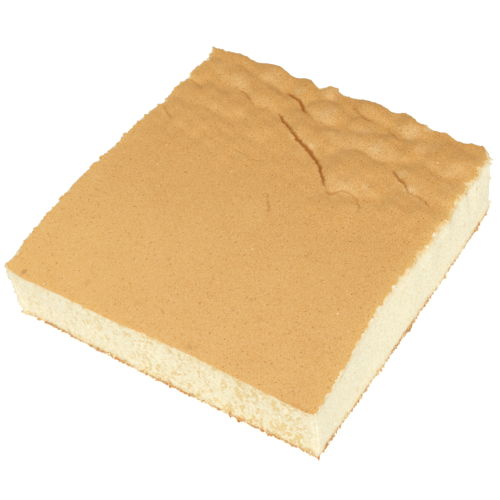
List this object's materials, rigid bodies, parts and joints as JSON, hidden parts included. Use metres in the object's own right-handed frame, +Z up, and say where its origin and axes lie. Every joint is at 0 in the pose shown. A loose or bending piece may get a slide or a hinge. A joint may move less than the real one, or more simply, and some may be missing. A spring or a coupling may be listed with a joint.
{
  "type": "trifle sponge",
  "caption": "Square slab of plain sponge cake with a browned top that crumples into soft folds along one side, and clean cut sides of pale crumb.",
  "frame": {"origin": "middle of the slab's footprint, at the flat underside", "axes": "+Z up through the browned top, -Y out of the long cut side in front, +X out of the cut side on the right, +Y towards the crumpled edge"},
  "size_m": [0.184, 0.1908, 0.0459],
  "materials": {
    "sponge": "matt golden baked skin over pale cream crumb"
  },
  "bodies": {
    "root": {"sponge": "sponge"}
  },
  "joints": []
}
